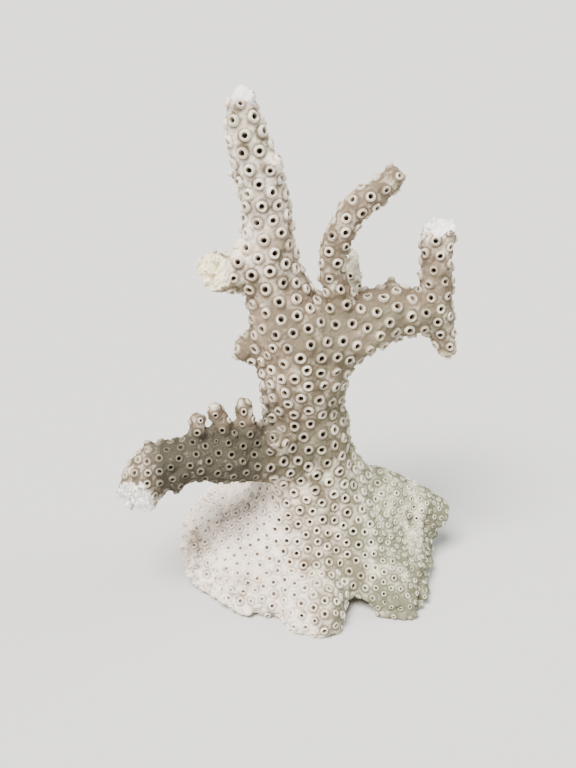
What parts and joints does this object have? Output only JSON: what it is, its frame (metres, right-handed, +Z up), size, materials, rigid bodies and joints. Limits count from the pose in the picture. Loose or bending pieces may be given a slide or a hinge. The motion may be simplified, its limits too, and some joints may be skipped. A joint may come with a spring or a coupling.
{
  "type": "branching coral",
  "caption": "Dead bleached branching coral with thick tapering branches, raised round cups all over, and a spreading foot cut off flat to rest on.",
  "frame": {"origin": "on the flat underside of the foot, below the stem", "axes": "+Z up along the stem and the leader; +X towards the arm that carries the right upright; -Y towards the front, where the low branch leans"},
  "size_m": [0.1031, 0.0723, 0.1512],
  "materials": {
    "bleached_skeleton": "matte",
    "stained_skeleton": "matte"
  },
  "bodies": {
    "root": {"base": "bleached_skeleton", "trunk": "bleached_skeleton", "leader": "bleached_skeleton", "leader_side_stub": "bleached_skeleton", "curved_branch": "bleached_skeleton", "back_stub": "bleached_skeleton", "right_arm": "bleached_skeleton", "right_upright": "bleached_skeleton", "right_lower_stub": "bleached_skeleton", "lower_left_branch": "stained_skeleton", "branchlet_outer": "bleached_skeleton", "branchlet_middle": "bleached_skeleton", "branchlet_inner": "bleached_skeleton"}
  },
  "joints": []
}
